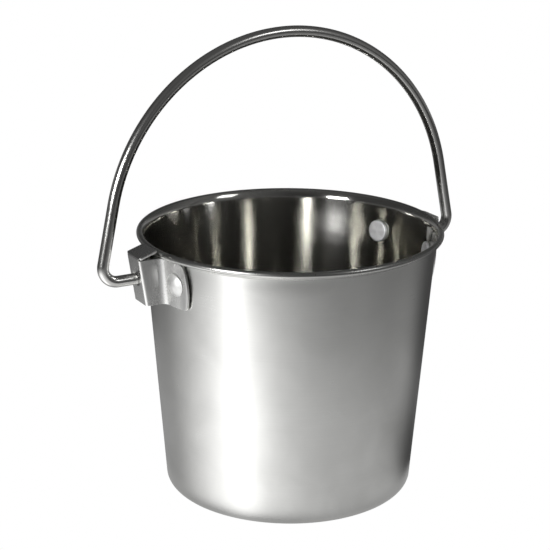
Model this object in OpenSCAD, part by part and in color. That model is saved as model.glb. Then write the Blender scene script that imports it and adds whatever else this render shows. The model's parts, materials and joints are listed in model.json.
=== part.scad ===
// Feed bucket: a drawn stainless steel pail with a wire bail that swings in two riveted ears.
// Millimetres, +Z up. The origin is the centre of the base. +X runs along the bail's pivot axis.

/* [View] */
// Piece to build

/* [Bucket] */
// Height from the table to the top of the rim
body_h = 144.5; // [140:0.5:150]
// Outside radius the wall would have at the table
base_r = 67.7; // [65:0.1:70]
// Lean of the wall from vertical, degrees
wall_lean = 4.49; // [4:0.01:5]
// Sheet thickness
sheet_t = 0.8; // [0.6:0.1:1]
// Outside radius of the corner between base and wall
corner_r = 5; // [3:0.5:8]

/* [Rim] */
// Radius of the rolled rim's section
roll_r = 1.7; // [1.4:0.1:2]
// Radius of the flare that leads into the roll, on its inner face
flare_r = 8; // [6:0.5:10]
// Angle turned by the flare
flare_turn = 34; // [28:1:38]
// Direction of the roll's free edge, degrees
roll_end = 220; // [216:1:250]

/* [Bail] */
// Wire diameter
wire_d = 6; // [5:0.1:6.4]
// Height of the pivot axis above the table
pivot_z = 129; // [127:0.5:130]
// Radius of the crown's centreline
crown_r = 101.4; // [99:0.1:104]
// Height of the crown's centre above the pivot axis
crown_up = 19.5; // [16:0.5:22]
// Splay of each leg from vertical, degrees
leg_splay = 11.8; // [9:0.1:14]
// Centreline radius of the bend into each stub
bend_r = 8; // [7:0.5:9]
// Distance of the bail's middle from the bucket's middle, within its play in the ears
bail_slide = -3.6; // [-3.6:0.1:3.6]
// Diameter of the upset head on each wire end
head_d = 9; // [8:0.5:10]
// Thickness of that head
head_t = 2; // [1.5:0.1:2.2]
// Distance from the bail's middle to the shoulder of each head
shoulder_x = 84.4; // [84:0.1:84.6]

/* [Ears] */
// Sheet thickness
ear_t = 1.2; // [1:0.1:1.4]
// Width of the raised box
box_w = 15; // [14:0.5:15.5]
// Bottom edge height
ear_z0 = 115.8; // [115:0.1:117]
// Top edge height
ear_z1 = 140.4; // [139:0.1:141]
// Outer face's distance from the middle at the pivot height
face_x = 91; // [90:0.1:91.5]
// Lean of the outer face from vertical, degrees
face_lean = 9; // [8:0.5:11]
// Radius of the folds beside the outer face, outside
fold_r = 1.5; // [1.4:0.1:2.5]
// Radius of the bends into the flanges, on the visible side
foot_r = 4; // [3:0.5:4]
// Distance from the pivot axis to the end of each flange on the left ear
left_flange_y = 26.8; // [26.4:0.1:29.6]
// The same on the right ear
right_flange_y = 33.5; // [33:0.1:34]
// How much lower the right ear is riveted on than the left
right_drop = 2.4; // [0:0.1:2.6]
// Radius of each flange's rounded end
flange_end_r = 34; // [26:1:40]
// Radius of each flange's corners
flange_corner_r = 2.5; // [1:0.5:4]
// Slope of the hood above horizontal, degrees
hood_slope = 18; // [15:1:20]
// Bail hole diameter
bail_hole_d = 7.2; // [6.8:0.1:7.6]

/* [Rivets] */
// Angle of each left rivet from the pivot axis, in plan
left_rivet_angle = 12.6; // [12.6:0.1:14]
// Angle of each right rivet from the pivot axis, in plan
right_rivet_angle = 18.6; // [18:0.1:18.9]
// Height of the left rivets above the table
rivet_z = 128.4; // [127:0.1:129]
// Shank diameter
shank_d = 5; // [4:0.5:6]
// Inner head diameter
inner_head_d = 12.4; // [11:0.5:13]
// Inner head thickness
inner_head_t = 1.5; // [1.2:0.1:2]
// Outer head diameter
outer_head_d = 12.6; // [11:0.5:13]
// Outer head height
outer_head_h = 2.4; // [2:0.1:3]

/* [Hidden] */
$fn = 96;
steel = [0.72, 0.72, 0.70];
polished = [0.78, 0.78, 0.77];

wire_r = wire_d / 2;
gap = 0.2;
hole_clear = 0.05;
// Overlaps that let neighbouring pieces of one sheet or wire fuse
bite = 0.02;
lap = 0.4;
lap_turn = 14;
straight_d = wire_d - 2 * bite;

// Outside wall radius at a height, and the same on the inner face
function wall_r(z) = base_r + z * tan(wall_lean);
function inner_r(z) = wall_r(z) - sheet_t / cos(wall_lean);
function polar(c, r, a) = [c[0] + r * cos(a), c[1] + r * sin(a)];

// What differs between the left side, -1, and the right side, 1
function ear_drop(side) = side > 0 ? right_drop : 0;
function flange_y(side) = side > 0 ? right_flange_y : left_flange_y;
function rivet_angle(side) = side > 0 ? right_rivet_angle : left_rivet_angle;

// Bucket section
corner_c = [base_r - corner_r * (1 - sin(wall_lean)) / cos(wall_lean), corner_r];
flare_a0 = 180 - wall_lean;
flare_a1 = flare_a0 - flare_turn;
wall_top = body_h - roll_r + flare_r * sin(wall_lean) - (flare_r - roll_r) * sin(flare_a1);
flare_c = [inner_r(wall_top) + flare_r * cos(wall_lean), wall_top - flare_r * sin(wall_lean)];
roll_c = polar(flare_c, flare_r - roll_r + bite, flare_a1);
rim_r = roll_c[0] + roll_r;

// Bail centreline
stub_bend_x = crown_r * cos(leg_splay)
            + (crown_up + crown_r * sin(leg_splay) - bend_r * (1 + sin(leg_splay))) * tan(leg_splay)
            - bend_r * cos(leg_splay);
leg_len = (crown_up + crown_r * sin(leg_splay) - bend_r * (1 + sin(leg_splay))) / cos(leg_splay);

// Ear section, in a plane across the leaning wall
wall_pivot_r = wall_r(pivot_z);
local_r = wall_pivot_r / cos(wall_lean);
foot_y = box_w / 2 + foot_r + bite;
foot_d = local_r + gap + ear_t + foot_r + bite;
foot_a = asin(foot_y / foot_d);
foot_x = foot_d * cos(foot_a) - local_r;
ear_h = ear_z1 - ear_z0;
ear_mid = (ear_z0 + ear_z1) / 2;
end_corner_z = ear_h / 2 - flange_corner_r;
end_corner_reach = sqrt(pow(flange_end_r - flange_corner_r, 2) - pow(end_corner_z, 2));
end_a = atan(end_corner_z / end_corner_reach);
hood_w = box_w;

// Sheet outline of the bucket, as a half section
module corner_fill(t) {
  translate(corner_c) circle(r = corner_r - t);
}

module outer_half() {
  polygon([[0, 0],
           [corner_c[0], 0],
           polar(corner_c, corner_r, -wall_lean),
           polar(flare_c, flare_r - sheet_t, flare_a0),
           polar(flare_c, flare_r, flare_a0),
           [0, wall_top]]);
  corner_fill(0);
}

module inner_half() {
  polygon([[0, sheet_t],
           [corner_c[0], sheet_t],
           polar(corner_c, corner_r - sheet_t, -wall_lean),
           polar(flare_c, flare_r, flare_a0),
           [inner_r(wall_top), wall_top + 20],
           [0, wall_top + 20]]);
  corner_fill(sheet_t);
}

module flare_half() {
  intersection() {
    difference() {
      translate(flare_c) circle(r = flare_r);
      translate(flare_c) circle(r = flare_r - sheet_t);
    }
    polygon([flare_c,
             polar(flare_c, 2 * flare_r, flare_a0),
             polar(flare_c, 2 * flare_r, (flare_a0 + flare_a1) / 2),
             polar(flare_c, 2 * flare_r, flare_a1)]);
  }
}

module roll_half() {
  difference() {
    translate(roll_c) circle(r = roll_r);
    translate(roll_c) circle(r = roll_r - sheet_t);
    polygon([roll_c,
             polar(roll_c, 3 * roll_r, flare_a1 + lap_turn),
             polar(roll_c, 3 * roll_r, (flare_a1 + roll_end) / 2),
             polar(roll_c, 3 * roll_r, roll_end)]);
  }
}

module bucket_shell() {
  rotate_extrude() {
    difference() {
      outer_half();
      inner_half();
    }
    flare_half();
    roll_half();
  }
}

// Carries a solid drawn on the +X axis, with its own +X outwards, to a rivet on the wall
module at_rivet(side, row) {
  z = rivet_z - ear_drop(side);
  rotate([0, 0, side > 0 ? row * rivet_angle(side) : 180 - row * rivet_angle(side)])
    translate([wall_r(z), 0, z]) rotate([0, wall_lean, 0]) children();
}

module rivet_hole(side, row) {
  at_rivet(side, row) rotate([0, 90, 0])
    cylinder(d = shank_d + 2 * hole_clear, h = 12, center = true);
}

module bucket_body() {
  color(steel) difference() {
    bucket_shell();
    rivet_hole(-1, -1);
    rivet_hole(-1, 1);
    rivet_hole(1, -1);
    rivet_hole(1, 1);
  }
}

// One piece of the wire, bent in the XZ plane about c, from angle a0 through turn
module wire_arc(c, r, a0, turn) {
  translate([c[0], 0, c[1]]) rotate([90, 0, 0]) rotate([0, 0, a0])
    rotate_extrude(angle = turn) translate([r, 0]) circle(d = wire_d, $fn = 24);
}

module bail_half() {
  leg_top = [crown_r * cos(leg_splay), crown_up + crown_r * sin(leg_splay)];
  translate([leg_top[0], 0, leg_top[1]]) rotate([0, 180 - leg_splay, 0])
    translate([0, 0, -lap]) cylinder(d = straight_d, h = leg_len + 2 * lap);
  wire_arc([stub_bend_x, bend_r], bend_r, -90, 90 + leg_splay);
  translate([shoulder_x - lap, 0, 0]) rotate([0, 90, 0])
    cylinder(d = straight_d, h = stub_bend_x - shoulder_x + 2 * lap);
  translate([shoulder_x - head_t, 0, 0]) rotate([0, 90, 0])
    cylinder(d = head_d, h = head_t);
}

module bail_handle() {
  color(polished) translate([bail_slide, 0, pivot_z]) {
    wire_arc([0, crown_up], crown_r, leg_splay, 180 - 2 * leg_splay);
    bail_half();
    mirror([1, 0, 0]) bail_half();
  }
}

// Flange and foot bend on one side, as a section across the wall
module foot_section() {
  translate([foot_x, -foot_y]) intersection() {
    difference() {
      circle(r = foot_r + ear_t);
      circle(r = foot_r);
    }
    polygon([[0, 0],
             [0, 2 * foot_r],
             polar([0, 0], 3 * foot_r, (270 - foot_a) / 2),
             polar([0, 0], 2 * foot_r, 180 - foot_a)]);
  }
  translate([-local_r, 0]) intersection() {
    difference() {
      circle(r = local_r + gap + ear_t, $fn = 360);
      circle(r = local_r + gap, $fn = 360);
    }
    polygon([[0, 0],
             polar([0, 0], 1.2 * local_r, -foot_a + lap / 2),
             polar([0, 0], 1.2 * local_r, -35)]);
  }
}

module ear_feet() {
  translate([wall_pivot_r, 0, pivot_z]) rotate([0, wall_lean, 0])
    translate([0, 0, -25]) linear_extrude(height = 50) {
      foot_section();
      mirror([0, 1]) foot_section();
    }
}

module box_section(inset) {
  w = box_w / 2 - inset;
  r = fold_r - inset;
  translate([-22, -w]) square([22 - inset - r, 2 * w]);
  translate([-10, -w + r]) square([10 - inset, 2 * w - 2 * r]);
  translate([-inset - r, w - r]) circle(r = r);
  translate([-inset - r, r - w]) circle(r = r);
}

module ear_box() {
  intersection() {
    translate([face_x, 0, pivot_z]) rotate([0, face_lean, 0])
      translate([0, 0, -25]) linear_extrude(height = 50) difference() {
        box_section(0);
        box_section(ear_t);
      }
    translate([wall_pivot_r, 0, pivot_z]) rotate([0, wall_lean, 0])
      translate([foot_x - lap, -20, -30]) cube([30, 40, 60]);
  }
}

// Outline of the ear seen along the pivot axis
module ear_outline_half(side) {
  end_c = flange_y(side) - flange_end_r;
  end_corner_y = end_c + end_corner_reach;
  intersection() {
    translate([end_c, 0]) circle(r = flange_end_r, $fn = 180);
    polygon([[end_c, 0],
             polar([end_c, 0], 2 * flange_end_r, -end_a),
             polar([end_c, 0], 2 * flange_end_r, end_a)]);
  }
  translate([end_corner_y, end_corner_z]) circle(r = flange_corner_r);
  translate([end_corner_y, -end_corner_z]) circle(r = flange_corner_r);
  translate([-1, -ear_h / 2]) square([end_corner_y + 1, ear_h]);
}

module ear_outline(side) {
  translate([60, 0, ear_mid]) rotate([90, 0, 90]) linear_extrude(height = 50) {
    ear_outline_half(side);
    mirror([1, 0]) ear_outline_half(side);
  }
}

// Hood over the bail hole, from the top of the outer face up to the rim, as a section across its fold
module hood_section() {
  fold_c = [-ear_t, (ear_z1 - pivot_z) / cos(face_lean) + 0.1];
  hood_a = 90 - hood_slope + face_lean;
  outer_end = polar(fold_c, ear_t, hood_a);
  reach = [-14 * sin(hood_a), 14 * cos(hood_a)];
  polygon([[-ear_t, fold_c[1] - 0.6],
           [0, fold_c[1] - 0.6],
           [0, fold_c[1]],
           outer_end,
           outer_end + reach,
           fold_c + reach,
           fold_c]);
  translate(fold_c) intersection() {
    circle(r = ear_t + bite);
    polygon([[0, 0],
             polar([0, 0], 2 * ear_t, -lap_turn),
             polar([0, 0], 3 * ear_t, hood_a / 2),
             polar([0, 0], 2 * ear_t, hood_a + lap_turn)]);
  }
}

module ear_hood() {
  difference() {
    translate([face_x, 0, pivot_z]) rotate([0, face_lean, 0]) rotate([90, 0, 0])
      translate([0, 0, -hood_w / 2]) linear_extrude(height = hood_w) hood_section();
    translate([0, 0, ear_mid]) cylinder(r = rim_r + 0.4, h = 30, $fn = 360);
  }
}

// The whole ear sheet, on the +X side, before its holes
module ear_sheet(side) {
  intersection() {
    ear_feet();
    ear_outline(side);
  }
  intersection() {
    ear_box();
    ear_outline(side);
  }
  ear_hood();
}

module bail_ear(side) {
  difference() {
    rotate([0, 0, side > 0 ? 0 : 180])
      translate([-ear_drop(side) * tan(wall_lean), 0, -ear_drop(side)]) ear_sheet(side);
    translate([side * face_x, 0, pivot_z]) rotate([0, 90, 0])
      cylinder(d = bail_hole_d, h = 18, center = true);
    rivet_hole(side, -1);
    rivet_hole(side, 1);
  }
}

module bail_ear_left() {
  color(steel) bail_ear(-1);
}

module bail_ear_right() {
  color(steel) bail_ear(1);
}

// Half section of a rivet along +Y: head inside the bucket, shank, and hammered head outside
module rivet_half() {
  inner_y = -sheet_t - gap;
  seat_y = gap + ear_t + 0.1;
  dome_r = (pow(outer_head_d / 2, 2) + pow(outer_head_h, 2)) / (2 * outer_head_h);
  polygon([[0, inner_y - inner_head_t],
           [inner_head_d / 2 - 0.6, inner_y - inner_head_t],
           [inner_head_d / 2, inner_y - inner_head_t + 0.6],
           [inner_head_d / 2, inner_y],
           [shank_d / 2, inner_y],
           [shank_d / 2, seat_y],
           [0, seat_y]]);
  intersection() {
    translate([0, seat_y + outer_head_h - dome_r]) circle(r = dome_r, $fn = 180);
    translate([0, seat_y]) square([outer_head_d, outer_head_h - 0.3]);
  }
}

module rivet(side, row) {
  at_rivet(side, row) rotate([0, 90, 0]) rotate_extrude() rivet_half();
}

module rivet_left_front() {
  color(polished) rivet(-1, -1);
}

module rivet_left_rear() {
  color(polished) rivet(-1, 1);
}

module rivet_right_front() {
  color(polished) rivet(1, -1);
}

module rivet_right_rear() {
  color(polished) rivet(1, 1);
}

bucket_body();
bail_handle();
bail_ear_left();
bail_ear_right();
rivet_left_front();
rivet_left_rear();
rivet_right_front();
rivet_right_rear();
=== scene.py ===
import json
import math

import bmesh
import bpy
from mathutils import Matrix, Quaternion, Vector, noise

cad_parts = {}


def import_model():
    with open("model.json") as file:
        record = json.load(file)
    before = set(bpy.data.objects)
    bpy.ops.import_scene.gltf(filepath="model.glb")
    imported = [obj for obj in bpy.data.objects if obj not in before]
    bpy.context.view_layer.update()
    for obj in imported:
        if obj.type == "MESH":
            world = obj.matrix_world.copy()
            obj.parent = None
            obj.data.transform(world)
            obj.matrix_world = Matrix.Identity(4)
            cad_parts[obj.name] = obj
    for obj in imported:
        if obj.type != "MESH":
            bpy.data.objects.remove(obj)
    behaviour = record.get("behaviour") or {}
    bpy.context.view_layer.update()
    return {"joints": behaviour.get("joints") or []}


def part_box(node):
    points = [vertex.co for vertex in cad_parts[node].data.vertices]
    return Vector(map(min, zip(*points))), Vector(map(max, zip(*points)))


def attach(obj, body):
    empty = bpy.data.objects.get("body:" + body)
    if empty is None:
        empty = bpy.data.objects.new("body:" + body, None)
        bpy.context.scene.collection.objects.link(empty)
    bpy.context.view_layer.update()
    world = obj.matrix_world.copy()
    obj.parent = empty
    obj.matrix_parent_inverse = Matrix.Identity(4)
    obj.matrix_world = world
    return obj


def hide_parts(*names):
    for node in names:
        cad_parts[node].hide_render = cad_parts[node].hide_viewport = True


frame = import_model()

MM = 0.001

# ---------------------------------------------------------------------------
# Sizes of the part, in millimetres, and places read from the frame
# ---------------------------------------------------------------------------
BODY_LO, BODY_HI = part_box("bucket_body")
BODY_H = BODY_HI.z / MM
RIM_R = BODY_HI.x / MM
PIVOT_Z = frame["joints"][0]["pos_m"][2] / MM

SHEET = 0.8
LEAN = 4.49
BASE_R = 67.7
CORNER_R = 5.0
ROLL_R = 1.7
FLARE_R = 8.0
FLARE_TURN = 34.0
ROLL_END = -140.0

EAR_T = 1.2
GAP = 0.2
EAR_Z0 = 115.8
EAR_Z1 = 140.4
FACE_X = 91.0
FACE_LEAN = 9.0
BOX_HALF = 7.5
FOLD_R = 1.5
FOOT_R = 4.0
FLANGE_END_R = 34.0
FLANGE_CORNER_R = 2.5
HOOD_SLOPE = 18.0
BAIL_HOLE_R = 3.6

# What differs between the left side, -1, and the right side, 1
FLANGE_Y = {-1: 26.8, 1: 33.5}
RIVET_ANGLE = {-1: 12.6, 1: 18.6}
DROP = {-1: 0.0, 1: 2.4}
HOOD_SPREAD = {-1: 0.28, 1: 0.04}

RIVET_Z = 128.4
SHANK_R = 2.5
INNER_HEAD_R, INNER_HEAD_T = 6.2, 1.5
OUTER_HEAD_R, OUTER_HEAD_H = 6.3, 2.4

WIRE_R = 3.0
CROWN_R = 101.4
CROWN_UP = 19.5
SPLAY = 11.8
BEND_R = 8.0
SLIDE = -3.6
HEAD_R, HEAD_T = 4.5, 2.0
SHOULDER_X = 84.4


def rad(a):
    return math.radians(a)


def polar(c, r, a):
    return (c[0] + r * math.cos(rad(a)), c[1] + r * math.sin(rad(a)))


def arc(c, r, a0, a1, n):
    return [polar(c, r, a0 + (a1 - a0) * i / n) for i in range(n + 1)]


def line(p, q, n):
    return [(p[0] + (q[0] - p[0]) * i / n, p[1] + (q[1] - p[1]) * i / n) for i in range(n + 1)]


def smooth(x):
    x = min(1.0, max(0.0, x))
    return x * x * (3 - 2 * x)


def wall_r(z):
    return BASE_R + z * math.tan(rad(LEAN))


def inner_r(z):
    return wall_r(z) - SHEET / math.cos(rad(LEAN))


def new_piece(name, verts, faces, mats, face_mats=None):
    """A smooth-shaded mesh object from points in millimetres."""
    mesh = bpy.data.meshes.new(name)
    mesh.from_pydata([(x * MM, y * MM, z * MM) for x, y, z in verts], [], faces)
    for m in mats:
        mesh.materials.append(m)
    if face_mats:
        mesh.polygons.foreach_set("material_index", face_mats)
    mesh.polygons.foreach_set("use_smooth", [True] * len(mesh.polygons))
    bm = bmesh.new()
    bm.from_mesh(mesh)
    bmesh.ops.recalc_face_normals(bm, faces=bm.faces)
    bm.to_mesh(mesh)
    bm.free()
    mesh.update()
    ob = bpy.data.objects.new(name, mesh)
    bpy.context.scene.collection.objects.link(ob)
    return ob


# ---------------------------------------------------------------------------
# Materials
# ---------------------------------------------------------------------------
class Tree:
    """Short calls for building a node tree."""

    def __init__(self, nt):
        self.nt = nt
        nt.nodes.clear()

    def node(self, kind, **settings):
        n = self.nt.nodes.new(kind)
        for k, v in settings.items():
            setattr(n, k, v)
        return n

    def put(self, socket, value):
        if hasattr(value, "links"):
            self.nt.links.new(value, socket)
        else:
            socket.default_value = value

    def maths(self, operation, a, b=0.0, c=0.0, clamp=False):
        n = self.node("ShaderNodeMath", operation=operation, use_clamp=clamp)
        for s, v in zip(n.inputs, (a, b, c)):
            self.put(s, v)
        return n.outputs[0]

    def scaled(self, coords, scale, turn=(0, 0, 0)):
        n = self.node("ShaderNodeMapping")
        self.put(n.inputs["Vector"], coords)
        n.inputs["Scale"].default_value = scale
        n.inputs["Rotation"].default_value = turn
        return n.outputs[0]

    def noise(self, coords, scale, detail=3.0, rough=0.5, distortion=0.0):
        n = self.node("ShaderNodeTexNoise")
        self.put(n.inputs["Vector"], coords)
        n.inputs["Scale"].default_value = scale
        n.inputs["Detail"].default_value = detail
        n.inputs["Roughness"].default_value = rough
        n.inputs["Distortion"].default_value = distortion
        return n.outputs["Fac"]

    def fit(self, value, a, b, c, d, clamp=True):
        n = self.node("ShaderNodeMapRange", clamp=clamp)
        self.put(n.inputs["Value"], value)
        for s, v in zip(list(n.inputs)[1:5], (a, b, c, d)):
            s.default_value = v
        return n.outputs[0]

    def ramp(self, value, stops, ease="EASE"):
        n = self.node("ShaderNodeValToRGB")
        n.color_ramp.interpolation = ease
        els = n.color_ramp.elements
        while len(els) < len(stops):
            els.new(0.5)
        for e, (p, c) in zip(els, stops):
            e.position = p
            e.color = (c, c, c, 1) if isinstance(c, (int, float)) else (*c, 1)
        self.put(n.inputs[0], value)
        return n.outputs[0]

    def mix(self, fac, a, b, kind="MIX"):
        n = self.node("ShaderNodeMix", data_type="RGBA", blend_type=kind)
        self.put(n.inputs[0], fac)
        self.put(n.inputs[6], a)
        self.put(n.inputs[7], b)
        return n.outputs[2]


def steel(name, colour, dull, rough, rough_smudge, grain, grain_scale, grain_bump,
          aniso=0.0, turn=0.25, pits=0.0, dents=0.0, wear=0.0, uv=False, haze=None, dark_patch=None):
    """Stainless steel: colour with dull patches, roughness from smudges and grain, bump from grain, pits and dents.
    grain_scale stretches the grain: the smallest numbers are along it."""
    mat = bpy.data.materials.new(name)
    mat.use_nodes = True
    t = Tree(mat.node_tree)
    out = t.node("ShaderNodeOutputMaterial")
    bsdf = t.node("ShaderNodeBsdfPrincipled")
    t.nt.links.new(bsdf.outputs[0], out.inputs["Surface"])
    coords = t.node("ShaderNodeTexCoord")
    place = coords.outputs["Object"]
    along = coords.outputs["UV"] if uv else place

    smudge = t.noise(place, 38, detail=5, rough=0.6, distortion=0.4)
    cloud = t.noise(place, 14, detail=2, rough=0.5)
    lines = t.noise(t.scaled(along, grain_scale), 1.0, detail=4, rough=0.65)
    fine = t.noise(t.scaled(along, tuple(2.7 * s for s in grain_scale)), 1.0, detail=2, rough=0.5)
    patch = t.maths("MULTIPLY", smudge, cloud)

    tone = t.fit(patch, 0.15, 0.42, 0.0, 1.0)
    base = t.mix(tone, (*colour, 1), (*dull, 1))
    streak = t.fit(lines, 0.35, 0.65, 1.0 - 0.35 * grain, 1.0)
    base = t.mix(1.0, base, streak, "MULTIPLY")
    if wear:
        geometry = t.node("ShaderNodeNewGeometry")
        edge = t.fit(geometry.outputs["Pointiness"], 0.52, 0.62, 0.0, wear)
        base = t.mix(edge, base, (0.86, 0.86, 0.84, 1))
    # Darkens the colour in a low, wide patch just under the rim on the camera's side
    if dark_patch:
        near = t.node("ShaderNodeVectorMath", operation="DISTANCE")
        t.put(near.inputs[0], t.scaled(place, (1, 1, 4)))
        near.inputs[1].default_value = dark_patch
        reach = t.maths("ADD", near.outputs["Value"], t.fit(smudge, 0.3, 0.7, -0.012, 0.012))
        base = t.mix(1.0, base, t.fit(reach, 0.002, 0.028, 0.80, 1.0), "MULTIPLY")
    t.put(bsdf.inputs["Base Color"], base)

    level = t.fit(smudge, 0.3, 0.7, rough - rough_smudge, rough + rough_smudge)
    level = t.maths("ADD", level, t.fit(lines, 0.3, 0.7, -0.5 * grain * rough, 0.5 * grain * rough))
    if haze:
        near = t.node("ShaderNodeVectorMath", operation="DISTANCE")
        t.put(near.inputs[0], t.scaled(place, (1, 1, 1.8)))
        near.inputs[1].default_value = haze
        veil = t.maths("MULTIPLY", t.fit(near.outputs["Value"], 0.002, 0.026, 0.13, 0.0),
                       t.fit(lines, 0.35, 0.6, 0.6, 1.0))
        level = t.maths("ADD", level, veil)
    t.put(bsdf.inputs["Roughness"], t.maths("MAXIMUM", level, 0.03))

    height = t.maths("MULTIPLY", lines, grain_bump)
    height = t.maths("MULTIPLY_ADD", fine, 0.4 * grain_bump, height)
    if pits:
        n = t.node("ShaderNodeTexVoronoi", feature="F1")
        t.put(n.inputs["Vector"], place)
        n.inputs["Scale"].default_value = 900
        height = t.maths("MULTIPLY_ADD", t.fit(n.outputs["Distance"], 0.0, 0.35, -1, 0), pits, height)
    if dents:
        height = t.maths("MULTIPLY_ADD", t.noise(place, 90, detail=1), dents, height)
    bump = t.node("ShaderNodeBump")
    bump.inputs["Strength"].default_value = 1.0
    bump.inputs["Distance"].default_value = 1.0
    t.put(bump.inputs["Height"], height)
    t.put(bsdf.inputs["Normal"], bump.outputs[0])

    bsdf.inputs["Metallic"].default_value = 1.0
    if aniso:
        bsdf.inputs["Anisotropic"].default_value = aniso
        bsdf.inputs["Anisotropic Rotation"].default_value = turn
        tangent = t.node("ShaderNodeTangent", direction_type="RADIAL", axis="Z")
        t.put(bsdf.inputs["Tangent"], tangent.outputs[0])
    return mat


HAZE = (0.0765 * math.cos(rad(41)), 0.0765 * math.sin(rad(41)), 1.8 * 0.126)
# Centre of the darker patch: just under the rim, on the camera's side
DARK_PATCH = (0.0784 * math.cos(rad(-119.8)), 0.0784 * math.sin(rad(-119.8)), 4 * 0.1365)
SATIN = steel("satin_wall", (0.66, 0.66, 0.645), (0.61, 0.61, 0.595), 0.30, 0.02, 0.10,
              (24, 24, 5200), 6e-7, aniso=0.88, dark_patch=DARK_PATCH)
MIRROR = steel("polished_inside", (0.63, 0.625, 0.60), (0.58, 0.575, 0.55), 0.115, 0.02, 0.08,
               (30, 30, 3800), 1e-7, aniso=0.75, haze=HAZE)
RIM = steel("polished_rim", (0.52, 0.52, 0.505), (0.45, 0.45, 0.435), 0.28, 0.05, 0.06,
            (60, 60, 1500), 1e-7)
UNDER = steel("base_underside", (0.60, 0.60, 0.58), (0.52, 0.52, 0.50), 0.38, 0.05, 0.12,
              (600, 600, 600), 1e-6)
WIRE = steel("drawn_wire", (0.66, 0.655, 0.64), (0.58, 0.575, 0.56), 0.23, 0.04, 0.10,
             (160, 2600, 1), 5e-8, uv=True)
PLATE = steel("pressed_plate", (0.74, 0.74, 0.73), (0.65, 0.65, 0.64), 0.27, 0.05, 0.08,
              (900, 900, 60), 8e-7, dents=1.2e-5, pits=1e-6, wear=0.6)
HAMMERED = steel("hammered_head", (0.76, 0.76, 0.75), (0.68, 0.68, 0.67), 0.60, 0.06, 0.05,
                 (500, 500, 500), 2e-6, dents=4e-5, pits=4e-6, wear=0.3)
WHITE_HEAD = steel("flat_head", (0.90, 0.90, 0.91), (0.80, 0.80, 0.82), 0.55, 0.05, 0.05,
                   (500, 500, 500), 3e-6, pits=1.2e-5)


# ---------------------------------------------------------------------------
# Bucket: a lathed sheet with its curled rim, rivet holes and the dents that riveting left
# ---------------------------------------------------------------------------
L = rad(LEAN)
corner_c = (BASE_R - CORNER_R * (1 - math.sin(L)) / math.cos(L), CORNER_R)
flare_a0 = 180 - LEAN
flare_a1 = flare_a0 - FLARE_TURN
wall_top = BODY_H - ROLL_R + FLARE_R * math.sin(L) - (FLARE_R - ROLL_R) * math.sin(rad(flare_a1))
flare_c = (inner_r(wall_top) + FLARE_R * math.cos(L), wall_top - FLARE_R * math.sin(L))
roll_c = polar(flare_c, FLARE_R - ROLL_R, flare_a1)
# Each rivet's angle round the bucket and its height
RIVETS = {
    "rivet_left_front": (180 + RIVET_ANGLE[-1], RIVET_Z - DROP[-1]),
    "rivet_left_rear": (180 - RIVET_ANGLE[-1], RIVET_Z - DROP[-1]),
    "rivet_right_front": (-RIVET_ANGLE[1], RIVET_Z - DROP[1]),
    "rivet_right_rear": (RIVET_ANGLE[1], RIVET_Z - DROP[1]),
}

# How deep riveting dented the wall at each
DENT = {"rivet_left_front": 0.03, "rivet_left_rear": 0.03, "rivet_right_front": 0.10, "rivet_right_rear": 0.14}


def dent(angle, z):
    """How far out the wall is moved, from riveting and from drawing the sheet."""
    fade = smooth((z - 8) / 30) * smooth((BODY_H - 4 - z) / 8)
    if fade <= 0:
        return 0.0
    total = 0.0
    for name, (a, rivet_z) in RIVETS.items():
        across = wall_r(z) * rad((angle - a + 180) % 360 - 180)
        away = math.hypot(across, z - rivet_z)
        total += DENT[name] * (math.exp(-(away / 9.0) ** 2) - 0.5 * math.exp(-((away - 15) / 6.0) ** 2))
    p = Vector((math.cos(rad(angle)) * 1.9, math.sin(rad(angle)) * 1.9, z / 42))
    total += 0.05 * noise.noise(p)
    return fade * total


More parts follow.
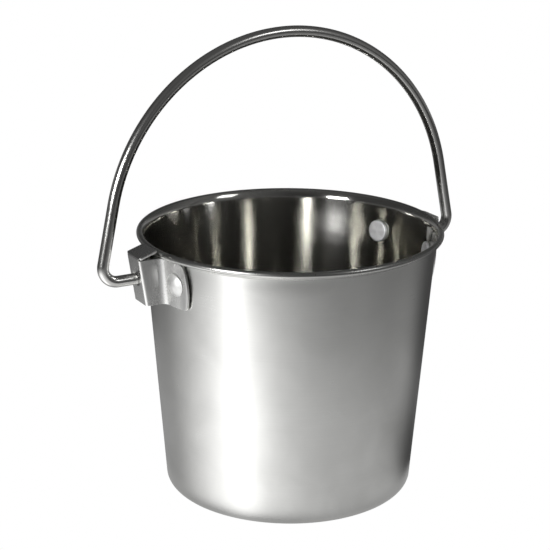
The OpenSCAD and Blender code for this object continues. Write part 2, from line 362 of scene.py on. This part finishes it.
def bucket():
    turns = 288
    n_wall = 58
    outer_lo = polar(corner_c, CORNER_R, -LEAN)
    outer_hi = polar(flare_c, FLARE_R - SHEET, flare_a0)
    inner_lo = polar(corner_c, CORNER_R - SHEET, -LEAN)
    inner_hi = polar(flare_c, FLARE_R, flare_a0)
    runs = [
        ("under", line((0, 0), (corner_c[0], 0), 14)),
        ("out", arc(corner_c, CORNER_R, -90, -LEAN, 9)),
        ("out", line(outer_lo, outer_hi, n_wall)),
        ("rim", arc(flare_c, FLARE_R - SHEET, flare_a0, flare_a1, 7)),
        ("rim", arc(roll_c, ROLL_R - SHEET, flare_a1, ROLL_END, 14)),
        ("rim", [polar(roll_c, ROLL_R - SHEET + d, ROLL_END) for d in (0.04, 0.12, 0.68, 0.76)]),
        ("rim", arc(roll_c, ROLL_R, ROLL_END, flare_a1, 34)),
        ("in", arc(flare_c, FLARE_R, flare_a1, flare_a0, 12)),
        ("in", line(inner_hi, inner_lo, n_wall)),
        ("in", arc(corner_c, CORNER_R - SHEET, -LEAN, -90, 9)),
        ("in", line((corner_c[0], SHEET), (0, SHEET), 14)),
    ]
    slots = {"out": 0, "in": 1, "rim": 2, "under": 3}
    path, kinds = [], []
    for kind, points in runs:
        for p in points:
            if path and math.hypot(p[0] - path[-1][0], p[1] - path[-1][1]) < 1e-4:
                continue
            path.append(p)
            kinds.append(slots[kind])
    verts, rings = [], []
    for r, z in path:
        if r < 1e-6:
            rings.append([len(verts)])
            verts.append((0, 0, z))
            continue
        ring = []
        for j in range(turns):
            a = 360 * j / turns
            d = dent(a, z) if r > 60 else 0
            ring.append(len(verts))
            verts.append(((r + d) * math.cos(rad(a)), (r + d) * math.sin(rad(a)), z))
        rings.append(ring)

    walls = {}
    for side, slot in (("out", 0), ("in", 1)):
        rows = [k for k in range(len(path)) if kinds[k] == slot and 20 < path[k][1] < wall_top - 1]
        walls[side] = rows

    faces, face_mats, skip = [], [], set()
    holes = {}
    half = 2
    for side, rows in walls.items():
        for name, (a, rivet_z) in RIVETS.items():
            j = round((a % 360) / (360 / turns))
            k = min(rows, key=lambda q: abs(path[q][1] - rivet_z))
            lo, hi = k - half, k + half
            block = []
            for q in range(lo, hi):
                for i in range(j - half, j + half):
                    skip.add((q, i % turns))
            for i in range(j - half, j + half):
                block.append((lo, i))
            for q in range(lo, hi):
                block.append((q, j + half))
            for i in range(j + half, j - half, -1):
                block.append((hi, i))
            for q in range(hi, lo, -1):
                block.append((q, j - half))
            radius_at = wall_r if side == "out" else inner_r
            scale = radius_at(rivet_z)
            edge = [rings[q][i % turns] for q, i in block]
            angles = []
            for q, i in block:
                across = scale * rad((360 * i / turns - a + 180) % 360 - 180)
                angles.append(math.atan2(path[q][1] - rivet_z, across))
            circle = []
            for t in angles:
                z = rivet_z + (SHANK_R + 0.05) * math.sin(t)
                b = a + math.degrees((SHANK_R + 0.05) * math.cos(t) / scale)
                r = radius_at(z) + dent(b, z)
                circle.append(len(verts))
                verts.append((r * math.cos(rad(b)), r * math.sin(rad(b)), z))
            n = len(edge)
            for m in range(n):
                faces.append((edge[m], edge[(m + 1) % n], circle[(m + 1) % n], circle[m]))
                face_mats.append(0 if side == "out" else 1)
            holes.setdefault(name, {})[side] = sorted(zip(angles, circle))
    for name, sides in holes.items():
        ring_out = [v for _, v in sides["out"]]
        ring_in = [v for _, v in sides["in"]]
        n = len(ring_out)
        for m in range(n):
            faces.append((ring_out[m], ring_out[(m + 1) % n], ring_in[(m + 1) % n], ring_in[m]))
            face_mats.append(0)
    for k in range(len(path) - 1):
        a, b = rings[k], rings[k + 1]
        for j in range(turns):
            if (k, j) in skip:
                continue
            i = (j + 1) % turns
            if len(a) == 1:
                faces.append((a[0], b[j], b[i]))
            elif len(b) == 1:
                faces.append((a[j], b[0], a[i]))
            else:
                faces.append((a[j], b[j], b[i], a[i]))
            face_mats.append(kinds[k + 1])
    return new_piece("pail_shell", verts, faces, [SATIN, MIRROR, RIM, UNDER], face_mats)


# ---------------------------------------------------------------------------
# Bail: a wire swept along its bends, with a headed end inside each ear
# ---------------------------------------------------------------------------
def bail():
    leg_top = (CROWN_R * math.cos(rad(SPLAY)), CROWN_UP + CROWN_R * math.sin(rad(SPLAY)))
    rise = CROWN_UP + CROWN_R * math.sin(rad(SPLAY)) - BEND_R * (1 + math.sin(rad(SPLAY)))
    bend_x = leg_top[0] + rise * math.tan(rad(SPLAY)) - BEND_R * math.cos(rad(SPLAY))
    bend_c = (bend_x, BEND_R)
    tip = SHOULDER_X - HEAD_T
    head = [(tip, 0.0), (tip, HEAD_R - 0.5), (tip + 0.15, HEAD_R - 0.15), (tip + 0.5, HEAD_R),
            (SHOULDER_X - 0.5, HEAD_R), (SHOULDER_X - 0.15, HEAD_R - 0.15), (SHOULDER_X, HEAD_R - 0.5),
            (SHOULDER_X, WIRE_R + 0.3), (SHOULDER_X + 0.15, WIRE_R + 0.05), (SHOULDER_X + 0.5, WIRE_R)]
    half = [((x, 0.0), r) for x, r in head]
    half += [(p, WIRE_R) for p in line((SHOULDER_X + 1.5, 0), (bend_x, 0), 8)]
    half += [(p, WIRE_R) for p in arc(bend_c, BEND_R, -90, SPLAY, 30)[1:]]
    half += [(p, WIRE_R) for p in line(polar(bend_c, BEND_R, SPLAY), leg_top, 20)[1:]]
    crown = [(p, WIRE_R) for p in arc((0, CROWN_UP), CROWN_R, SPLAY, 180 - SPLAY, 150)[1:-1]]
    path = half + crown + [((-x, z), r) for (x, z), r in reversed(half)]

    around = 44
    n = len(path)
    points = [Vector((x, 0, z)) for (x, z), r in path]
    verts, uvs, along = [], [], 0.0
    for k in range(n):
        before, after = points[max(k - 1, 0)], points[min(k + 1, n - 1)]
        if k < 10 or (after - before).length < 1e-6:
            ahead = Vector((1, 0, 0))
        elif k >= n - 10:
            ahead = Vector((1, 0, 0)) * -1
            ahead = Vector((1, 0, 0))
        else:
            ahead = (after - before).normalized()
        if k < 10:
            side = Vector((0, 0, -1))
        elif k >= n - 10:
            side = Vector((0, 0, 1))
            side = Vector((0, 0, -1))
        else:
            side = ahead.cross(Vector((0, 1, 0))).normalized()
        if k:
            along += (points[k] - points[k - 1]).length
        r = path[k][1]
        if r < 1e-6:
            verts.append(points[k].copy())
            uvs.append([(along * MM, 0)])
            continue
        uvs.append([])
        for j in range(around + 1):
            a = 2 * math.pi * j / around
            if j < around:
                verts.append(points[k] + r * (side * math.cos(a) + Vector((0, 1, 0)) * math.sin(a)))
            uvs[-1].append((along * MM, WIRE_R * a * MM))
    place = Vector((SLIDE, 0, PIVOT_Z))
    verts = [v + place for v in verts]
    faces, corners = [], []
    start = [0]
    for k in range(n):
        start.append(start[-1] + (1 if path[k][1] < 1e-6 else around))
    for k in range(n - 1):
        for j in range(around):
            i = (j + 1) % around
            if path[k][1] < 1e-6:
                faces.append((start[k], start[k + 1] + j, start[k + 1] + i))
                corners.append((uvs[k][0], uvs[k + 1][j], uvs[k + 1][j + 1]))
            elif path[k + 1][1] < 1e-6:
                faces.append((start[k] + j, start[k + 1], start[k] + i))
                corners.append((uvs[k][j], uvs[k + 1][0], uvs[k][j + 1]))
            else:
                faces.append((start[k] + j, start[k + 1] + j, start[k + 1] + i, start[k] + i))
                corners.append((uvs[k][j], uvs[k + 1][j], uvs[k + 1][j + 1], uvs[k][j + 1]))
    mesh = bpy.data.meshes.new("bail_wire")
    mesh.from_pydata([v * MM for v in verts], [], faces)
    layer = mesh.uv_layers.new(name="grain")
    flat = [c for face in corners for uv in face for c in uv]
    layer.data.foreach_set("uv", flat)
    mesh.materials.append(WIRE)
    mesh.polygons.foreach_set("use_smooth", [True] * len(mesh.polygons))
    bm = bmesh.new()
    bm.from_mesh(mesh)
    bmesh.ops.recalc_face_normals(bm, faces=bm.faces)
    bm.to_mesh(mesh)
    bm.free()
    ob = bpy.data.objects.new("bail_wire", mesh)
    bpy.context.scene.collection.objects.link(ob)
    return ob


# ---------------------------------------------------------------------------
# Ears: one folded sheet each, with flanges, webs, an outer face and a hood
# ---------------------------------------------------------------------------
F = rad(FACE_LEAN)
WALL_PIVOT_R = wall_r(PIVOT_Z)
LOCAL_R = WALL_PIVOT_R / math.cos(L)
FOOT_Y = BOX_HALF + FOOT_R
FOOT_D = LOCAL_R + GAP + EAR_T + FOOT_R
FOOT_A = math.degrees(math.asin(FOOT_Y / FOOT_D))
FOOT_X = FOOT_D * math.cos(rad(FOOT_A)) - LOCAL_R
EAR_H = EAR_Z1 - EAR_Z0
EAR_MID = (EAR_Z0 + EAR_Z1) / 2
END_CORNER_Z = EAR_H / 2 - FLANGE_CORNER_R
END_CORNER_REACH = math.sqrt((FLANGE_END_R - FLANGE_CORNER_R) ** 2 - END_CORNER_Z ** 2)
END_A = math.degrees(math.atan2(END_CORNER_Z, END_CORNER_REACH))
MID_R = LOCAL_R + GAP + EAR_T / 2
LIFT = 0.9


def on_wall(x, y, z):
    zl = (z - PIVOT_Z + x * math.sin(L)) / math.cos(L)
    return Vector((WALL_PIVOT_R + x * math.cos(L) + zl * math.sin(L), y, z))


def on_face(x, y, z):
    zf = (z - PIVOT_Z + x * math.sin(F)) / math.cos(F)
    return Vector((FACE_X + x * math.cos(F) + zf * math.sin(F), y, z))


def in_face(x, y, zf):
    return Vector((FACE_X + x * math.cos(F) + zf * math.sin(F), y, PIVOT_Z - x * math.sin(F) + zf * math.cos(F)))


def flange_end(z, side):
    v = abs(z - EAR_MID)
    end_c = FLANGE_Y[side] - FLANGE_END_R
    if v <= FLANGE_END_R * math.sin(rad(END_A)):
        return end_c + math.sqrt(FLANGE_END_R ** 2 - v ** 2)
    return end_c + END_CORNER_REACH + math.sqrt(max(0.0, FLANGE_CORNER_R ** 2 - (v - END_CORNER_Z) ** 2))


def flange_point(angle, z, side):
    lift = LIFT * smooth((angle - RIVET_ANGLE[side] - 1.5) / 6.5) ** 1.3
    r = MID_R + lift
    return on_wall(r * math.cos(rad(angle)) - LOCAL_R, r * math.sin(rad(angle)), z)


WEB_Y = BOX_HALF - EAR_T / 2
FOLD_C = (-FOLD_R, BOX_HALF - FOLD_R)
FOLD_MID = FOLD_R - EAR_T / 2
FOOT_MID = FOOT_R + EAR_T / 2


def section(s, z, side):
    """Middle of the sheet for one half, y >= 0. s: 0-1 face, 1-2 fold, 2-3 web, 3-4 foot, 4-5 flange."""
    if s <= 1:
        return on_face(-EAR_T / 2, s * FOLD_C[1], z)
    if s <= 2:
        x, y = polar(FOLD_C, FOLD_MID, 90 * (s - 1))
        return on_face(x, y, z)
    if s <= 3:
        a, b = on_face(-FOLD_R, WEB_Y, z), on_wall(FOOT_X, WEB_Y, z)
        return a.lerp(b, s - 2)
    if s <= 4:
        t = -90 - (90 - FOOT_A) * (s - 3)
        x, y = polar((FOOT_X, FOOT_Y), FOOT_MID, t)
        return on_wall(x, y, z)
    end = math.degrees(math.asin(flange_end(z, side) / MID_R))
    return flange_point(FOOT_A + (end - FOOT_A) * (s - 4), z, side)


def ear(side):
    n_face, n_fold, n_web, n_foot, n_flange = 7, 6, 4, 10, 14
    steps = [i / n_face for i in range(n_face)]
    steps += [1 + i / n_fold for i in range(n_fold)]
    steps += [2 + i / n_web for i in range(n_web)]
    steps += [3 + i / n_foot for i in range(n_foot)]
    steps += [4 + i / n_flange for i in range(n_flange + 1)]
    columns = [-s for s in reversed(steps[1:])] + steps
    corner = [90 - (90 - END_A) * i / 5 for i in range(6)]
    tops = [END_CORNER_Z + FLANGE_CORNER_R * math.sin(rad(t)) for t in corner]
    inside = tops[-1]
    n_rows = 17
    rows = [EAR_MID - v for v in tops[:-1]]
    rows += [EAR_MID - inside + 2 * inside * i / n_rows for i in range(n_rows + 1)]
    rows += [EAR_MID + v for v in reversed(tops[:-1])]

    def at(s, z):
        p = section(abs(s), z, side)
        return Vector((p.x, -p.y if s < 0 else p.y, p.z))

    verts = [at(s, z) for z in rows for s in columns]
    wide = len(columns)

    def index(i, k):
        return k * wide + i

    faces, skip = [], set()

    def hole(i0, i1, k0, k1, centre, radius, flat, place, rings):
        """Swaps a block of the grid for rings of faces round a hole. flat maps a column and height to a plane, and
        place maps the plane back to the sheet."""
        for k in range(k0, k1):
            for i in range(i0, i1):
                skip.add((i, k))
        block = [(i, k0) for i in range(i0, i1)] + [(i1, k) for k in range(k0, k1)]
        block += [(i, k1) for i in range(i1, i0, -1)] + [(i0, k) for k in range(k1, k0, -1)]
        last = [index(i, k) for i, k in block]
        plane = [flat(columns[i], rows[k]) for i, k in block]
        for q in range(1, rings + 1):
            ring = []
            for u, v in plane:
                a = math.atan2(v - centre[1], u - centre[0])
                cu, cv = centre[0] + radius * math.cos(a), centre[1] + radius * math.sin(a)
                f = q / rings
                ring.append(len(verts))
                verts.append(place(u + (cu - u) * f, v + (cv - v) * f))
            n = len(ring)
            for m in range(n):
                faces.append((last[m], last[(m + 1) % n], ring[(m + 1) % n], ring[m]))
            last = ring

    mid = wide // 2
    hole_z = PIVOT_Z + DROP[side]
    near = [k for k, z in enumerate(rows) if abs(z - hole_z) < 6.2]
    hole(mid - 6, mid + 6, near[0], near[-1], (0.0, hole_z), BAIL_HOLE_R,
         lambda s, z: (s * FOLD_C[1], z), lambda u, v: on_face(-EAR_T / 2, u, v), 3)
    near = [k for k, z in enumerate(rows) if abs(z - RIVET_Z) < 5.0]
    for sign in (-1, 1):
        def flat(s, z, sign=sign):
            end = math.degrees(math.asin(flange_end(z, side) / MID_R))
            return MID_R * rad(FOOT_A + (end - FOOT_A) * (abs(s) - 4)), z

        def place(u, v, sign=sign):
            p = flange_point(math.degrees(u / MID_R), v, side)
            return Vector((p.x, sign * p.y, p.z))

        want = MID_R * rad(RIVET_ANGLE[side])
        cols = [i for i, s in enumerate(columns) if s * sign > 4.001 and abs(flat(s, RIVET_Z)[0] - want) < 4.6]
        hole(cols[0], cols[-1], near[0], near[-1], (want, RIVET_Z), SHANK_R + 0.05, flat, place, 2)

    for k in range(len(rows) - 1):
        for i in range(wide - 1):
            if (i, k) not in skip:
                faces.append((index(i, k), index(i + 1, k), index(i + 1, k + 1), index(i, k + 1)))

    # The hood carries on from the top of the outer face
    hood_a = 90 - HOOD_SLOPE + FACE_LEAN
    hood_c = (-EAR_T, (EAR_Z1 - PIVOT_Z) / math.cos(F) + 0.35)
    mid_r = EAR_T / 2
    first = [index(i, len(rows) - 1) for i in range(mid - n_face, mid + n_face + 1)]
    ys = [columns[i] * FOLD_C[1] for i in range(mid - n_face, mid + n_face + 1)]
    last = first
    bends = [(polar(hood_c, mid_r, hood_a * i / 6), 0.0) for i in range(0, 7)]
    end = polar(hood_c, mid_r, hood_a)
    ahead = (-math.sin(rad(hood_a)), math.cos(rad(hood_a)))
    n_out = 9
    for q in range(len(bends) + n_out):
        ring = []
        for y in ys:
            if q < len(bends):
                (x, zf), _ = bends[q]
                p = in_face(x, y * (1 + HOOD_SPREAD[side] * smooth(q / 6)), zf)
            else:
                f = (q - len(bends) + 1) / n_out
                wide_y = y * (1 + HOOD_SPREAD[side])
                start = in_face(end[0], wide_y, end[1])
                slope = in_face(end[0] + ahead[0], wide_y, end[1] + ahead[1]) - start
                stop = math.sqrt((RIM_R + 0.4) ** 2 - wide_y ** 2)
                length = (stop - start.x) / slope.x
                p = start + slope * (length * f)
            ring.append(len(verts))
            verts.append(p)
        for m in range(len(ring) - 1):
            faces.append((last[m], last[m + 1], ring[m + 1], ring[m]))
        last = ring

    drop = Vector((-DROP[side] * math.tan(L), 0, -DROP[side]))
    verts = [v + drop for v in verts]
    if side < 0:
        verts = [Vector((-v.x, -v.y, v.z)) for v in verts]
    name = "ear_left" if side < 0 else "ear_right"
    ob = new_piece(name, verts, faces, [PLATE])
    thick = ob.modifiers.new("thickness", "SOLIDIFY")
    thick.thickness = EAR_T * MM
    thick.offset = 0
    thick.use_even_offset = True
    edge = ob.modifiers.new("edges", "BEVEL")
    edge.width = 0.22 * MM
    edge.segments = 3
    edge.limit_method = "ANGLE"
    edge.angle_limit = rad(50)
    edge.harden_normals = False
    return ob


# ---------------------------------------------------------------------------
# Rivets: a flat head inside, a shank, and a head hammered down outside
# ---------------------------------------------------------------------------
def rivet(name, angle, height, seed):
    turns = 72
    inner = -SHEET - GAP
    seat = GAP + EAR_T + 0.1
    dome_r = (OUTER_HEAD_R ** 2 + OUTER_HEAD_H ** 2) / (2 * OUTER_HEAD_H)
    path = [(0.0, inner - INNER_HEAD_T, 1)]
    path += [(r, inner - INNER_HEAD_T, 1) for r in (1.2, 2.4, 3.5, 4.4, 5.1)]
    path += [(p[0], p[1], 1) for p in arc((INNER_HEAD_R - 0.6, inner - INNER_HEAD_T + 0.6), 0.6, -90, 0, 5)]
    path += [(INNER_HEAD_R, inner - 0.15, 1), (INNER_HEAD_R - 0.12, inner, 1), (SHANK_R + 0.1, inner, 0),
             (SHANK_R, inner + 0.08, 0), (SHANK_R, seat - 0.08, 0), (SHANK_R + 0.1, seat, 0)]
    path += [(OUTER_HEAD_R - 0.35, seat, 0), (OUTER_HEAD_R - 0.1, seat + 0.12, 0)]
    edge_a = math.degrees(math.acos((dome_r - OUTER_HEAD_H + 0.3) / dome_r))
    for i in range(12):
        a = edge_a * (1 - i / 11)
        path.append((dome_r * math.sin(rad(a)), seat + dome_r * math.cos(rad(a)) - dome_r + OUTER_HEAD_H - 0.3, 0))
    verts, starts, mats = [], [], []
    offset = Vector((seed * 7.3, seed * 3.1, 0))
    for r, h, kind in path:
        starts.append(len(verts))
        count = 1 if r < 1e-6 else turns
        for j in range(count):
            a = 2 * math.pi * j / turns
            u, v, w = r * math.cos(a), r * math.sin(a), h
            if kind == 0 and h > seat + 0.1:
                blow = noise.noise(Vector((u / 3.1, v / 3.1, 0)) + offset)
                cell = noise.voronoi(Vector((u / 3.4, v / 3.4, 0)) + offset)[0][0]
                w += (0.26 * blow + 0.22 * (cell - 0.35)) * smooth((h - seat) / 1.4)
                grow = 1 + 0.025 * noise.noise(Vector((math.cos(a), math.sin(a), seed * 1.7)))
                u, v = u * grow, v * grow
            elif kind == 1:
                grow = 1 + 0.02 * noise.noise(Vector((math.cos(a) * 1.3, math.sin(a) * 1.3, seed * 2.9))) * (r / INNER_HEAD_R)
                u, v = u * grow, v * grow
                if h < inner - 1.0:
                    w += 0.06 * noise.noise(Vector((u / 2.2, v / 2.2, 0)) + offset)
            verts.append(Vector((w, u, v)))
        mats.append(kind)
    faces, face_mats = [], []
    for k in range(len(path) - 1):
        a, b = starts[k], starts[k + 1]
        for j in range(turns):
            i = (j + 1) % turns
            if path[k][0] < 1e-6:
                faces.append((a, b + j, b + i))
            elif path[k + 1][0] < 1e-6:
                faces.append((a + j, b, a + i))
            else:
                faces.append((a + j, b + j, b + i, a + i))
            face_mats.append(1 if mats[k] and mats[k + 1] else 0)
    move = Matrix.Rotation(rad(angle), 4, "Z")
    move = move @ Matrix.Translation((wall_r(height), 0, height)) @ Matrix.Rotation(L, 4, "Y")
    verts = [move @ v for v in verts]
    ob = new_piece(name, verts, faces, [HAMMERED, WHITE_HEAD], face_mats)
    for e in ob.data.edges:
        e.use_edge_sharp = False
    return ob


pieces = []


def keep(ob, node, body):
    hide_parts(node)
    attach(ob, body)
    pieces.append(ob)


keep(bucket(), "bucket_body", "bucket")
keep(bail(), "bail_handle", "bail")
keep(ear(-1), "bail_ear_left", "bucket")
keep(ear(1), "bail_ear_right", "bucket")
for number, (node, (angle, height)) in enumerate(RIVETS.items()):
    short = node.replace("rivet_", "")
    keep(rivet("rivet_head_" + short, angle, height, number + 1), node, "bucket")


# ---------------------------------------------------------------------------
# Camera, at the photograph's viewing angle
# ---------------------------------------------------------------------------
AZ, EL, DISTANCE = -29.8, 20.73, 0.899
target = Vector((0, 0, 0.070))
back = Vector((math.sin(rad(AZ)) * math.cos(rad(EL)), -math.cos(rad(AZ)) * math.cos(rad(EL)), math.sin(rad(EL))))
camera_data = bpy.data.cameras.new("camera")
camera_data.lens = 106.44
camera_data.sensor_width = 36
camera = bpy.data.objects.new("camera", camera_data)
bpy.context.scene.collection.objects.link(camera)
camera.location = target + back * DISTANCE
camera.rotation_mode = "QUATERNION"
camera.rotation_quaternion = (
    (-back).to_track_quat("-Z", "Y")
    @ Quaternion((0, 0, 1), rad(0.548))
    @ Quaternion((1, 0, 0), rad(2.861))
    @ Quaternion((0, 1, 0), rad(0.492))
)
camera_data.clip_start, camera_data.clip_end = 0.05, 60
bpy.context.scene.camera = camera


# ---------------------------------------------------------------------------
# Studio: a pale floor, soft light all round and two softboxes; reflections see the floor with painted shade
# ---------------------------------------------------------------------------
FRONT = math.degrees(math.atan2(-math.cos(rad(AZ)), math.sin(rad(AZ))))


def world():
    w = bpy.data.worlds.new("studio")
    bpy.context.scene.world = w
    w.use_nodes = True
    t = Tree(w.node_tree)
    out = t.node("ShaderNodeOutputWorld")
    coords = t.node("ShaderNodeTexCoord")
    split = t.node("ShaderNodeSeparateXYZ")
    t.put(split.inputs[0], coords.outputs["Generated"])
    x, y, z = split.outputs
    turn = t.maths("DIVIDE", t.maths("ARCTAN2", y, x), 2 * math.pi)
    turn = t.maths("FRACT", t.maths("ADD", turn, 0.5 - FRONT / 360 + 1))

    def at(degrees):
        return degrees / 360 + 0.5

    below = t.ramp(turn, [(at(-180), 0.44), (at(-143), 0.50), (at(-121), 0.57), (at(-106), 0.96), (at(-93), 1.38),
                          (at(-81), 1.76), (at(-70), 2.20), (at(-62), 2.42), (at(-37), 2.55), (at(-31), 2.50),
                          (at(-23), 2.10), (at(-15), 1.80), (at(-7), 1.54), (at(2), 1.36), (at(18), 1.10),
                          (at(35), 0.94), (at(52), 0.84), (at(72), 0.80), (at(98), 0.90), (at(112), 1.05),
                          (at(122), 0.95), (at(131), 0.60), (at(142), 0.26), (at(160), 0.18), (at(180), 0.44)],
                   "LINEAR")
    level = t.ramp(turn, [(at(-180), 0.28), (at(-110), 0.26), (at(-80), 0.15), (at(0), 0.08), (at(80), 0.15),
                          (at(110), 0.26), (at(180), 0.28)], "LINEAR")
    above = t.ramp(turn, [(at(-180), 0.060), (at(-100), 0.055), (at(-60), 0.06), (at(0), 0.05), (at(40), 0.12),
                          (at(90), 0.14), (at(120), 0.08), (at(180), 0.06)], "LINEAR")
    both = t.mix(t.fit(z, -0.34, -0.20, 0.0, 1.0), below, level)
    both = t.mix(t.fit(z, 0.04, 0.20, 0.0, 1.0), both, above)
    both = t.mix(t.fit(z, 0.62, 0.86, 0.0, 1.0), both, (0.09, 0.09, 0.09, 1))
    path = t.node("ShaderNodeLightPath")
    seen = t.mix(path.outputs["Is Camera Ray"], both, (1, 1, 1, 1))
    bg = t.node("ShaderNodeBackground")
    t.put(bg.inputs["Color"], seen)
    t.nt.links.new(bg.outputs[0], out.inputs["Surface"])


def softbox(name, azimuth, elevation, distance, width, height, power, colour=(1, 1, 1)):
    """azimuth is measured from the camera's side, positive towards the right of the picture."""
    data = bpy.data.lights.new(name, "AREA")
    data.shape = "RECTANGLE"
    data.size, data.size_y = width, height
    data.energy = power
    data.color = colour
    ob = bpy.data.objects.new(name, data)
    bpy.context.scene.collection.objects.link(ob)
    a, e = rad(FRONT + azimuth), rad(elevation)
    away = Vector((math.cos(a) * math.cos(e), math.sin(a) * math.cos(e), math.sin(e)))
    ob.location = Vector((0, 0, 0.08)) + away * distance
    ob.rotation_mode = "QUATERNION"
    ob.rotation_quaternion = away.to_track_quat("Z", "Y")
    ob.visible_camera = False
    return ob


def floor():
    size = 12.0
    mesh = bpy.data.meshes.new("floor")
    rings, turns = 24, 64
    verts, faces = [(0, 0, -0.0002)], []
    for k in range(1, rings + 1):
        r = size * (k / rings) ** 2.2
        for j in range(turns):
            a = 2 * math.pi * j / turns
            verts.append((r * math.cos(a), r * math.sin(a), -0.0002))
    for j in range(turns):
        faces.append((0, 1 + j, 1 + (j + 1) % turns))
    for k in range(rings - 1):
        a, b = 1 + k * turns, 1 + (k + 1) * turns
        for j in range(turns):
            i = (j + 1) % turns
            faces.append((a + j, b + j, b + i, a + i))
    mesh.from_pydata(verts, [], faces)
    ob = bpy.data.objects.new("floor", mesh)
    bpy.context.scene.collection.objects.link(ob)
    mat = bpy.data.materials.new("pale_floor")
    mat.use_nodes = True
    t = Tree(mat.node_tree)
    out = t.node("ShaderNodeOutputMaterial")
    matt = t.node("ShaderNodeBsdfDiffuse")
    matt.inputs["Color"].default_value = (0.9, 0.9, 0.9, 1)
    glow = t.node("ShaderNodeEmission")
    away = t.node("ShaderNodeVectorMath", operation="LENGTH")
    aside = t.node("ShaderNodeVectorMath", operation="SUBTRACT")
    t.put(aside.inputs[0], t.node("ShaderNodeTexCoord").outputs["Object"])
    aside.inputs[1].default_value = (0.07 * math.cos(rad(FRONT - 60)), 0.07 * math.sin(rad(FRONT - 60)), 0)
    t.put(away.inputs[0], aside.outputs[0])
    reach = t.maths("DIVIDE", away.outputs["Value"], 0.4)
    shade = t.ramp(reach, [(0.10, 0.86), (0.20, 0.90), (0.36, 0.86), (0.47, 0.83), (0.53, 0.79), (0.60, 0.73),
                           (0.66, 0.66), (0.71, 0.58), (0.75, 0.47), (0.79, 0.37), (0.90, 0.28)], "LINEAR")
    # Painted shadow: a soft dark spot on the floor beside the pail on the right, seen only in reflections
    shadow_spot = t.node("ShaderNodeVectorMath", operation="DISTANCE")
    t.put(shadow_spot.inputs[0], t.node("ShaderNodeTexCoord").outputs["Object"])
    shadow_spot.inputs[1].default_value = (0.116 * math.cos(rad(FRONT + 99)), 0.116 * math.sin(rad(FRONT + 99)), 0)
    shade = t.mix(1.0, shade, t.fit(shadow_spot.outputs["Value"], 0.025, 0.085, 0.36, 1.0), "MULTIPLY")
    tint = t.node("ShaderNodeBsdfTransparent")
    t.put(tint.inputs["Color"], shade)
    path = t.node("ShaderNodeLightPath")
    # Close under the pail the floor is mirrored in the round corner of its base, and there it glows grey: a painted
    # contact shadow
    middle = t.node("ShaderNodeVectorMath", operation="LENGTH")
    t.put(middle.inputs[0], t.node("ShaderNodeTexCoord").outputs["Object"])
    # Painted contact shadow: near the pail, reflections see a grey glow in place of the lit floor
    foot = t.node("ShaderNodeEmission")
    foot.inputs["Color"].default_value = (0.52, 0.52, 0.52, 1)
    contact_shadow_mix = t.node("ShaderNodeMixShader")
    t.put(contact_shadow_mix.inputs[0], t.fit(middle.outputs["Value"], 0.0765, 0.0785, 0.0, 1.0))
    t.nt.links.new(foot.outputs[0], contact_shadow_mix.inputs[1])
    t.nt.links.new(tint.outputs[0], contact_shadow_mix.inputs[2])
    mirrored = t.node("ShaderNodeMixShader")
    t.put(mirrored.inputs[0], path.outputs["Is Glossy Ray"])
    t.nt.links.new(matt.outputs[0], mirrored.inputs[1])
    t.nt.links.new(contact_shadow_mix.outputs[0], mirrored.inputs[2])
    seen = t.node("ShaderNodeMixShader")
    t.put(seen.inputs[0], path.outputs["Is Camera Ray"])
    t.nt.links.new(mirrored.outputs[0], seen.inputs[1])
    t.nt.links.new(glow.outputs[0], seen.inputs[2])
    t.nt.links.new(seen.outputs[0], out.inputs["Surface"])
    mesh.materials.append(mat)
    return ob


world()
floor()
softbox("key", -41.5, 19, 0.7, 0.20, 0.14, 3.1)
softbox("side", 60, 36, 1.2, 0.28, 0.30, 0.9)

scene = bpy.context.scene
scene.view_settings.view_transform = "Standard"
scene.cycles.glossy_bounces = 12
scene.cycles.max_bounces = 14
